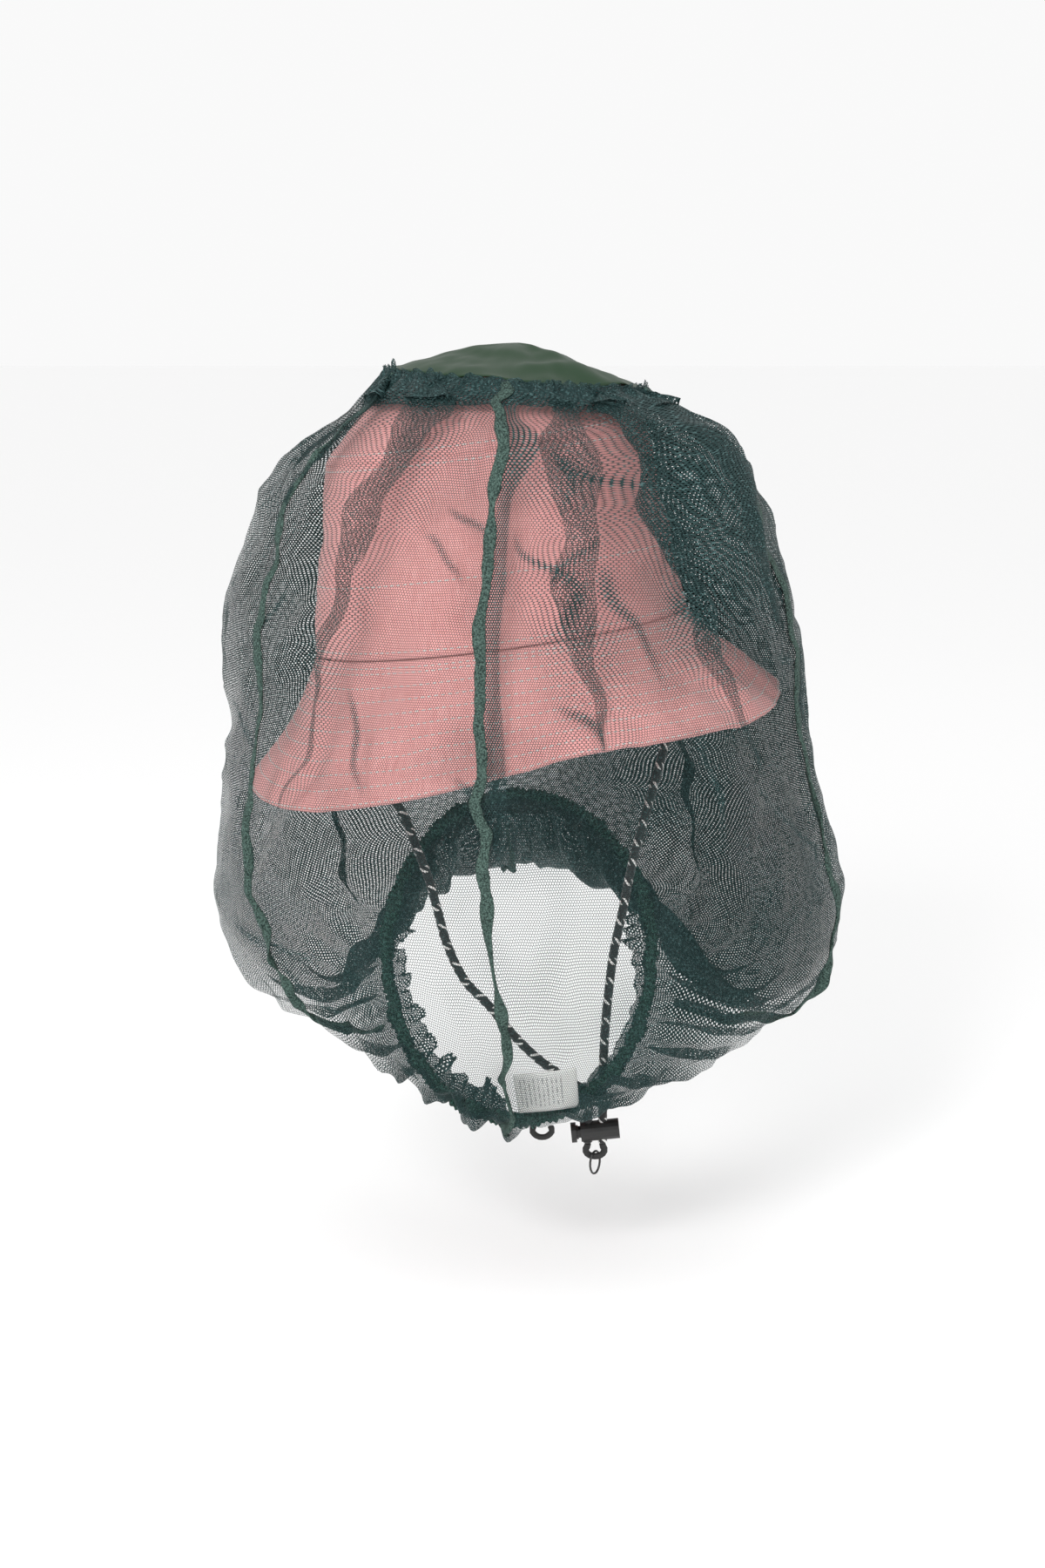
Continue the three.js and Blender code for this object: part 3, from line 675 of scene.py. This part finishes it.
# The sheet lies flat along most of the label, and is gathered everywhere else along the hem.
label_turns = (-0.06, 0.19)
signed_turn = (turn_grid + np.pi) % (2 * np.pi) - np.pi
beside_label = np.clip(np.maximum(label_turns[0] - signed_turn, signed_turn - label_turns[1]) / 0.1, 0, 1)
gather = smooth_step((drop_grid - 0.7) / 0.3) ** 1.5 * (0.12 + 0.88 * beside_label)
gather = gather * (0.25 + 0.75 * smooth_step((1 - drop_grid) / 0.035))
lift = lift + gather * 0.0058 * np.sin(30 * turn_grid + 2.2 * hem_phase)
lift = lift + gather * 0.0022 * np.sin(71 * turn_grid + 3 * hem_phase)
header_pleats = smooth_step((0.09 - drop_grid) / 0.09)
lift = lift + header_pleats * 0.0009 * np.sin(58 * turn_grid + 2 * hem_phase)
sag = np.exp(-((signed_turn + 0.2) / 0.3) ** 2) * smooth_step((drop_grid - 0.8) / 0.12)
sag = sag * smooth_step((1 - drop_grid) / 0.05)
drape = drape + lift[..., None] * outward
drape[..., 2] -= 0.009 * sag


def clear_of_hat(points, gap):
    """Moves points that would be in the hat, or within the gap of it, out to that gap."""
    flat = points.reshape(-1, 3) @ hat_turn_rows
    turn = np.arctan2(flat[:, 0], -flat[:, 1] * 1.045)
    height = flat[:, 2]
    on_crown = np.clip(1 - height / crown_height, 0, 1)
    fall = brim_drop - 0.008 * np.sin(turn) - 0.004 * np.cos(3 * turn - 0.6)
    on_brim = np.clip((0.002 - height) / fall, 0, 1)
    reached = np.where(height[:, None] > 0, crown_points(turn, on_crown, gap),
                       brim_points(turn, on_brim, gap))
    needed = np.hypot(reached[:, 0], reached[:, 1])
    beside = (height < crown_height) & (height > -0.075)
    grow = np.where(beside, np.maximum(needed / np.hypot(flat[:, 0], flat[:, 1]), 1), 1)
    flat = flat * np.stack([grow, grow, 1 + 0 * grow], axis=1)
    return (flat @ hat_turn_rows.T).reshape(points.shape)


drape = clear_of_hat(drape, 0.0030)

# How densely the mesh is drawn, most at the back: real bunching in the header and where the hem gathers it,
# and painted shade elsewhere.
# Painted shade: the back panels drawn dense so the inside looks dark, denser still towards the right side,
# away from the key light.
back_shade_mask = smooth_step((0.30 - np.cos(turn_grid)) / 0.56)
bunched_and_shaded = back_shade_mask * (0.50 + 0.32 * smooth_step(np.sin(turn_grid) * 0.8 + 0.5))
bunched_and_shaded = np.maximum(bunched_and_shaded, 0.75 * smooth_step((0.055 - drop_grid) / 0.03))
bunched_and_shaded = np.maximum(bunched_and_shaded, 0.62 * smooth_step((drop_grid - 0.84) / 0.15) * beside_label)
# Painted shade over the upper right side of the net, drawn as denser mesh.
upper_right_shade = smooth_step((signed_turn - 0.62) / 0.3) * smooth_step((0.42 - drop_grid) / 0.2)
upper_right_shade = upper_right_shade * smooth_step((1.9 - signed_turn) / 0.2)
bunched_and_shaded = np.maximum(bunched_and_shaded, 0.5 * upper_right_shade)
# Painted shadow cast by the front seam on the hat just right of it, drawn as a strip of denser mesh.
seam_shadow_mask = smooth_step((signed_turn + 0.105) / 0.01) * smooth_step((-0.03 - signed_turn) / 0.01)
bunched_and_shaded = np.maximum(bunched_and_shaded, 0.34 * seam_shadow_mask * smooth_step((0.6 - drop_grid) / 0.1))

# Painted shade along sharp creases, drawn as thin lines of denser mesh, each from one turn (degrees) and drop
# to another.
crease_ends = [
    (-25, 0.23, -12, 0.30), (-21, 0.205, -3, 0.24), (12, 0.22, 24, 0.32), (16, 0.12, 22, 0.22),
    (28, 0.26, 36, 0.42), (1, 0.22, 10, 0.37), (10, 0.41, 20, 0.51), (36, 0.30, 50, 0.43),
    (52, 0.52, 85, 0.69), (-58, 0.30, -66, 0.42), (-75, 0.70, -45, 0.76), (-62, 0.74, -45, 0.86),
    (-12, 0.50, -5, 0.62), (24, 0.14, 34, 0.20), (40, 0.45, 44, 0.62), (-38, 0.40, -30, 0.55),
    (70, 0.20, 84, 0.24), (60, 0.30, 80, 0.33), (66, 0.38, 86, 0.45), (-80, 0.45, -60, 0.52),
]
crease_radius = 0.13
crease_fall = 0.42
crease_width = 0.0015
crease_shade = np.zeros_like(turn_grid)
for k, (turn_a, drop_a, turn_b, drop_b) in enumerate(crease_ends):
    start = np.array([math.radians(turn_a) * crease_radius, drop_a * crease_fall])
    reach = np.array([math.radians(turn_b) * crease_radius, drop_b * crease_fall]) - start
    x, y = signed_turn * crease_radius - start[0], drop_grid * crease_fall - start[1]
    along = (x * reach[0] + y * reach[1]) / reach.dot(reach)
    beside = (x * reach[1] - y * reach[0]) / np.linalg.norm(reach)
    bow = 0.0035 * np.sin(np.pi * along + k) + 0.0012 * np.sin(9 * along + 2 * k)
    line = np.exp(-((beside - bow) / crease_width) ** 2) * smooth_step(along / 0.25)
    line = line * smooth_step((1 - along) / 0.45)
    crease_shade = np.maximum(crease_shade, line)
# The painted crease shade adds to the density here.
bunched_and_shaded = np.clip(bunched_and_shaded + 0.03 * net_creases + 0.42 * crease_shade, 0, 1.15)

net_reach = np.linalg.norm(plain_net[..., :2] - np.array([0.008, 0]), axis=-1).mean(axis=1)
net_reach = np.maximum.accumulate(net_reach)
net_steps = np.linalg.norm(np.diff(plain_net, axis=0), axis=-1).mean(axis=1)
net_walked = np.concatenate([[0], np.cumsum(net_steps)])
drape_outward = outward_of(drape)


def on_net(turn, drop, lift=0.0):
    """Points on the draped net, and how far out they stand from it."""
    share = np.asarray(turn) / (2 * np.pi)
    points = np.stack([sampled(drape[..., k], share, drop) for k in range(3)], axis=1)
    outs = np.stack([sampled(drape_outward[..., k], share, drop) for k in range(3)], axis=1)
    outs /= np.linalg.norm(outs, axis=1)[:, None]
    return points + outs * np.reshape(lift, (-1, 1)), outs


def net_material(name, thread):
    """Knitted mesh with round holes on a three-way lattice, from the UV map in metres."""
    material = paint(name, thread, 0.5)
    material.surface_render_method = "DITHERED"
    nodes, links, shader = nodes_of(material)
    uv = nodes.new("ShaderNodeSeparateXYZ")
    links.new(nodes.new("ShaderNodeTexCoord").outputs["UV"], uv.inputs[0])
    # The stored value holds real bunching and painted shade; the higher it is, the smaller the holes and the
    # darker the mesh.
    bunching_and_shade = nodes.new("ShaderNodeAttribute")
    bunching_and_shade.attribute_name = "bunching_and_shade"
    pitch = 0.00135
    wave = 4 * math.pi / math.sqrt(3) / pitch
    total = None
    for angle in (0, 120, 240):
        x = math_node(nodes, links, "MULTIPLY", uv.outputs[0], wave * math.sin(math.radians(angle)))
        y = math_node(nodes, links, "MULTIPLY_ADD", uv.outputs[1], wave * math.cos(math.radians(angle)), x)
        ripple = math_node(nodes, links, "COSINE", y)
        total = ripple if total is None else math_node(nodes, links, "ADD", total, ripple)
    shader.inputs["Specular IOR Level"].default_value = 0.12
    edge = math_node(nodes, links, "MULTIPLY_ADD", bunching_and_shade.outputs["Fac"], 3.5, -0.90)
    gap = math_node(nodes, links, "SUBTRACT", edge, total)
    solid = math_node(nodes, links, "MULTIPLY_ADD", gap, 1.5, 0.5, clamp=True)
    links.new(solid, shader.inputs["Alpha"])
    # Painted highlights: bright flecks of light caught on the yarn, up to five times the thread colour.
    noise = noise_of(material, nodes.new("ShaderNodeTexCoord").outputs["UV"], 800, 1)
    ramped_color(material, noise.outputs["Fac"], 0.52, 0.74, thread,
                 (thread[0] * 5, thread[1] * 4, thread[2] * 4))
    return material


# Stores the mesh density: real bunching, and painted shade at the back, on the right side, along creases and
# beside the front seam.
def store_bunching_and_shade(piece, values):
    layer = piece.data.attributes.new("bunching_and_shade", "FLOAT", "POINT")
    layer.data.foreach_set("value", np.asarray(values, dtype=float))


green_net = net_material("green_net", (0.013, 0.031, 0.031))
seam_turns = {"front": -0.12, "right": 1.36, "back": 3.26, "left": -1.1}
panels = {"net_front_left": ("left", "front"), "net_front_right": ("front", "right"),
          "net_back_right": ("right", "back"), "net_back_left": ("back", "left")}


def column_of(turn):
    return int(round((turn % (2 * math.pi)) / (2 * math.pi) * net_columns))


for node, (start, end) in panels.items():
    first = column_of(seam_turns[start])
    count = (column_of(seam_turns[end]) - first) % net_columns
    middle = first + count / 2
    bunching_and_shade = []

    def place(across, down):
        column = first + np.rint(across * count).astype(int)
        row = np.rint(down * net_rows).astype(int)
        bunching_and_shade.extend(bunched_and_shaded[row, column % net_columns])
        width = (column - middle) * 2 * math.pi / net_columns * net_reach[row]
        return drape[row, column % net_columns], np.stack([width, -net_walked[row]], axis=1)

    panel = cloth_grid(node.replace("net_", "mesh_"), count, net_rows, place, green_net)
    store_bunching_and_shade(panel, bunching_and_shade)
    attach(panel, "net")
    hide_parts(node)

# ---- Seam bindings ----
# Four strips of the same netting, folded over the panel edges and sewn. They pucker and twist lower down.


def crimped_material(name, color, size):
    """Gathered thread over a deep green: short bright and dark crimps, painted as the highlights and shade on
    the gathers.
    """
    material = paint(name, color, 0.75)
    nodes, _, shader = nodes_of(material)
    noise = noise_of(material, nodes.new("ShaderNodeTexCoord").outputs["Object"], 1 / size, 4)
    noise.inputs["Roughness"].default_value = 0.7
    # Painted highlights and shade on the crimps: dark spots down to 0.35 of the colour, bright ones up to 4.5
    # times it.
    ramped_color(material, noise.outputs["Fac"], 0.42, 0.62, [part * 0.35 for part in color],
                 (color[0] * 4.5, color[1] * 3.2, color[2] * 3.2))
    shader.inputs["Specular IOR Level"].default_value = 0.2
    raised(material, noise.outputs["Fac"], 0.8, 0.0008)
    return material


seam_binding = crimped_material("green_binding", (0.020, 0.047, 0.040), 0.0008)
seam_wander = np.random.default_rng(31)


def strip(name, centres, outs, widths, thicknesses, twists, material, around=12):
    """A closed flat strip along a line, lying on a surface, with a width and a twist at every step."""
    steps = len(centres) - 1
    along = np.gradient(centres, axis=0)
    along /= np.linalg.norm(along, axis=1)[:, None]
    sides = np.cross(along, outs)
    sides /= np.linalg.norm(sides, axis=1)[:, None]
    lifts = np.cross(sides, along)
    turned_sides = sides * np.cos(twists)[:, None] + lifts * np.sin(twists)[:, None]
    turned_lifts = lifts * np.cos(twists)[:, None] - sides * np.sin(twists)[:, None]
    walked = np.concatenate([[0], np.cumsum(np.linalg.norm(np.diff(centres, axis=0), axis=1))])

    def place(across, down):
        index = np.rint(down * steps).astype(int)
        angle = 2 * np.pi * (np.rint(across * around).astype(int) % around) / around
        end = np.where((index == 0) | (index == steps), 0.4, 1.0)
        wide = end * widths[index] / 2 * np.cos(angle)
        thick = end * thicknesses[index] / 2 * np.sin(angle)
        points = centres[index] + wide[:, None] * turned_sides[index] + thick[:, None] * turned_lifts[index]
        return points, np.stack([across * 0.02, walked[index]], axis=1)

    piece = cloth_grid(name, around, steps, place, material, weld=True)
    closed = bmesh.new()
    closed.from_mesh(piece.data)
    bmesh.ops.holes_fill(closed, edges=closed.edges, sides=0)
    bmesh.ops.recalc_face_normals(closed, faces=closed.faces)
    closed.to_mesh(piece.data)
    closed.free()
    return piece


def wander(steps, swells):
    """A smooth random line of about unit size, with so many swells along it."""
    return np.interp(np.linspace(0, swells, steps), np.arange(swells + 1),
                     seam_wander.standard_normal(swells + 1))


for seam, turn in seam_turns.items():
    steps = 420
    in_front = seam == "front"
    drop = np.linspace(0.004, 0.945 if in_front else 0.975, steps)
    loose = smooth_step((drop - 0.45) / 0.3)
    sideways = (0.006 + 0.03 * loose) * wander(steps, 26) * smooth_step(drop / 0.05)
    sideways = sideways * smooth_step((1 - drop) / 0.06)
    centres, outs = on_net(turn + sideways * (1 if in_front else 0.4), drop, 0.0012)
    widths = 0.0058 + 0.0011 * wander(steps, 60) - 0.0008 * loose
    widths = np.clip(widths, 0.0032, 0.0085) + in_front * 0.0035 * smooth_step((drop - 0.84) / 0.07)
    thicknesses = 0.0017 + 0.0003 * wander(steps, 80)
    twists = loose * 0.9 * wander(steps, 22)
    binding = strip(f"binding_{seam}", centres, outs, widths, np.clip(thicknesses, 0.0011, 0.0026), twists,
                    seam_binding)
    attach(binding, "net")
    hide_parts(f"seam_{seam}")

# ---- Top cap ----
# A round of plain green woven cloth, pulled to a low peak, with the net gathered to its edge.

cap_peak = 0.1475
cap_puckers = smooth_noise(41, 256, 64, 22, 3)
cap_swells = smooth_noise(42, 256, 64, 5, 3)


def cap_place(across, down):
    turn = 2 * np.pi * (across % 1)
    edge = cap_edge(turn)
    share = down * 0.976
    height = cap_peak + (edge[:, 2] - cap_peak) * share ** 1.55
    ridge = np.exp(-(np.sin((turn - 0.75) / 2) / 0.12) ** 2)
    ridge = ridge + 0.7 * np.exp(-(np.sin((turn + 1.25) / 2) / 0.16) ** 2)
    height = height + 0.0030 * ridge * np.sin(np.pi * share) - 0.0012 * np.sin(np.pi * share)
    height = height + 0.0009 * share ** 2 * sampled(cap_puckers, across, share)
    height = height + 0.0008 * np.sin(np.pi * share) * sampled(cap_swells, across, share)
    points = np.stack([cap_centre + (edge[:, 0] - cap_centre) * share, edge[:, 1] * share, height], axis=1)
    return points, points[:, :2]


def woven_material(name, color):
    """Fine plain weave with a soft gloss."""
    material = paint(name, color, 0.5)
    nodes, _, shader = nodes_of(material)
    shader.inputs["Specular IOR Level"].default_value = 0.3
    noise = noise_of(material, nodes.new("ShaderNodeTexCoord").outputs["UV"], 1500)
    raised(material, noise.outputs["Fac"], 0.25, 0.0002)
    return material


green_weave = woven_material("green_cap_cloth", (0.008, 0.034, 0.011))
cap_cloth = cloth_grid("cap_cloth", 160, 36, cap_place, green_weave, weld=True)
thick_cloth(cap_cloth, 0.0006)
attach(cap_cloth, "net")
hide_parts("top_cap")

# ---- Header ----
# The top edge of the net, turned in and gathered, stands up a little round the cap as a frayed frill.

header_rng = smooth_noise(51, 720, 16, 90, 5)
header_rows = 10


def header_place(across, down):
    turn = 2 * np.pi * (across % 1)
    edge, outs = on_net(turn, np.full_like(turn, 0.004), 0.0)
    below, _ = on_net(turn, np.full_like(turn, 0.05), -0.0035)
    seam_peak = sum(np.exp(-((((turn - at + np.pi) % (2 * np.pi)) - np.pi) / 0.045) ** 2)
                    for at in (seam_turns["left"] - 0.05, seam_turns["right"] + 0.04))
    rise = 0.0016 + 0.0006 * sampled(header_rng, across, np.full_like(across, 0.5)) + 0.0050 * seam_peak
    top = edge + np.stack([0 * rise, 0 * rise, rise], axis=1) + outs * 0.0010
    share = np.clip((down - 0.3) / 0.7, 0, 1)[:, None]
    over = np.clip(down / 0.3, 0, 1)[:, None]
    points = np.where(share > 0, edge + outs * 0.0006 * (1 - share) + (below - edge) * share,
                      top + (edge + outs * 0.0006 - top) * over)
    wave = 0.0006 * np.sin(88 * turn + 2 * sampled(header_rng, across, down)) * (1 - share[:, 0] * 0.5)
    return points + outs * wave[:, None], np.stack([across * 0.62, down * 0.022], axis=1)


header = cloth_grid("header_frill", 720, header_rows, header_place, green_net, weld=True)
header_heights = np.array([vert.co.z for vert in header.data.vertices])
store_bunching_and_shade(header, 0.62 * smooth_step((header_heights - 0.112) / 0.009))
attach(header, "net")
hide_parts("header_band")

# ---- Neck hem ----
# A casing of the same netting, scrunched on a braided elastic, with its raw edge standing up as a frill.

hem_material = crimped_material("hem_crimps", (0.012, 0.042, 0.034), 0.0011)
hem_noise = smooth_noise(61, 720, 24, 70, 6)
hem_tube_radius = 0.0034
hem_around = 14


def hem_frames(turn):
    centre = neck_line(turn)
    along = neck_line(turn + 1e-3) - neck_line(turn - 1e-3)
    along /= np.linalg.norm(along, axis=1)[:, None]
    away = centre - neck_centre
    away -= along * np.sum(away * along, axis=1)[:, None]
    away /= np.linalg.norm(away, axis=1)[:, None]
    return centre, away, np.cross(along, away)


def hem_place(across, down):
    turn = 2 * np.pi * (across % 1)
    angle = 2 * np.pi * (down % 1)
    centre, away, sides = hem_frames(turn)
    scrunch = 0.0009 * sampled(hem_noise, across, np.abs(2 * down - 1)) + 0.0007 * np.sin(150 * turn)
    reach = hem_tube_radius + scrunch
    points = centre + (away * np.cos(angle)[:, None] + sides * np.sin(angle)[:, None]) * reach[:, None]
    return points, np.stack([across * 0.45, down * 0.022], axis=1)


hem_cloth = cloth_grid("hem_casing_cloth", 720, hem_around, hem_place, hem_material, weld=True)
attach(hem_cloth, "net")
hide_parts("hem_casing")

frill_noise = smooth_noise(62, 960, 16, 60, 3)
frill_phase = smooth_noise(63, 960, 16, 14, 1)


def frill_place(across, down):
    turn = 2 * np.pi * (across % 1)
    centre, away, sides = hem_frames(turn)
    off = (turn + np.pi) % (2 * np.pi) - np.pi
    by_label = np.clip(np.maximum(label_turns[0] - off, off - label_turns[1]) / 0.12, 0.1, 1)
    by_label = by_label * (1 - 0.6 * np.exp(-((off - 0.92) / 0.55) ** 4))
    width = (0.0125 + 0.0028 * sampled(frill_noise, across, 0.2 + 0 * across)) * by_label
    wave = by_label * np.sqrt(down) * (
        0.0019 * np.sin(64 * turn + 2.4 * sampled(frill_phase, across, 0 * across))
        + 0.0012 * np.sin(151 * turn + 3 * sampled(frill_phase, across, 0.5 + 0 * across)))
    facing = neck_centre + np.array([0, -0.05, 0.01]) - centre
    facing /= np.linalg.norm(facing, axis=1)[:, None]
    folds_over = np.cross(facing, sides)
    points = centre + facing * (0.002 + width * down)[:, None] + folds_over * wave[:, None]
    points = points + away * (0.0006 * sampled(frill_noise, across, down))[:, None]
    return points, np.stack([across * 0.9, down * 0.012], axis=1)


frill = cloth_grid("hem_frill", 960, 8, frill_place, green_net, weld=True)
frill_reach = np.array([(vert.co - Vector(neck_centre)).length for vert in frill.data.vertices])
store_bunching_and_shade(frill, 0.55 + 0.4 * smooth_step((frill_reach / frill_reach.max() - 0.78) / 0.14))
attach(frill, "net")

elastic_braid = crimped_material("elastic_braid", (0.02, 0.06, 0.05), 0.0009)
cad_material("hem_elastic", elastic_braid)

# ---- Care label and hanging loop ----
# A plain white satin label is sewn in behind the front of the hem, beside a loop of black cord.

label_corners = np.array([(0.0065, -0.095, -0.2155), (0.0385, -0.094, -0.2125),
                          (0.0095, -0.0785, -0.2405), (0.0405, -0.0775, -0.2375)])
label_width = 0.033
label_height = 0.030
label_row_pitch = 0.0024


def label_material():
    """White satin with rows of faint grey marks where small print would be."""
    material = paint("label_satin", (0.84, 0.84, 0.82), 0.45)
    nodes, links, _ = nodes_of(material)
    uv = nodes.new("ShaderNodeSeparateXYZ")
    links.new(nodes.new("ShaderNodeTexCoord").outputs["UV"], uv.inputs[0])
    spaced = math_node(nodes, links, "MULTIPLY", uv.outputs[0], 1 / label_row_pitch)
    rows = math_node(nodes, links, "FRACT", spaced)
    on_row = math_node(nodes, links, "LESS_THAN", rows, 0.38)
    noise = noise_of(material, nodes.new("ShaderNodeTexCoord").outputs["UV"], 700)
    word = math_node(nodes, links, "GREATER_THAN", noise.outputs["Fac"], 0.47)
    inside = math_node(nodes, links, "COMPARE", uv.outputs[1], label_height / 2, label_height * 0.36)
    across = math_node(nodes, links, "COMPARE", uv.outputs[0], label_width * 0.42, label_width * 0.34)
    mark = math_node(nodes, links, "MULTIPLY", math_node(nodes, links, "MULTIPLY", on_row, word),
                     math_node(nodes, links, "MULTIPLY", inside, across))
    two_colors(material, mark, (0.84, 0.84, 0.82), (0.38, 0.38, 0.38))
    return material


def label_place(across, down):
    top = label_corners[0] + (label_corners[1] - label_corners[0]) * across[:, None]
    bottom = label_corners[2] + (label_corners[3] - label_corners[2]) * across[:, None]
    points = top + (bottom - top) * down[:, None]
    bow = 0.0016 * np.sin(np.pi * across) - 0.0014 * across * (1 - down)
    return points - np.array([0, 1, 0]) * bow[:, None], np.stack(
        [across * label_width, (1 - down) * label_height], axis=1)


label = cloth_grid("care_label_satin", 24, 16, label_place, label_material())
thick_cloth(label, 0.0004)
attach(label, "net")
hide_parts("care_label")
cad_material("hem_loop", loop_cord)
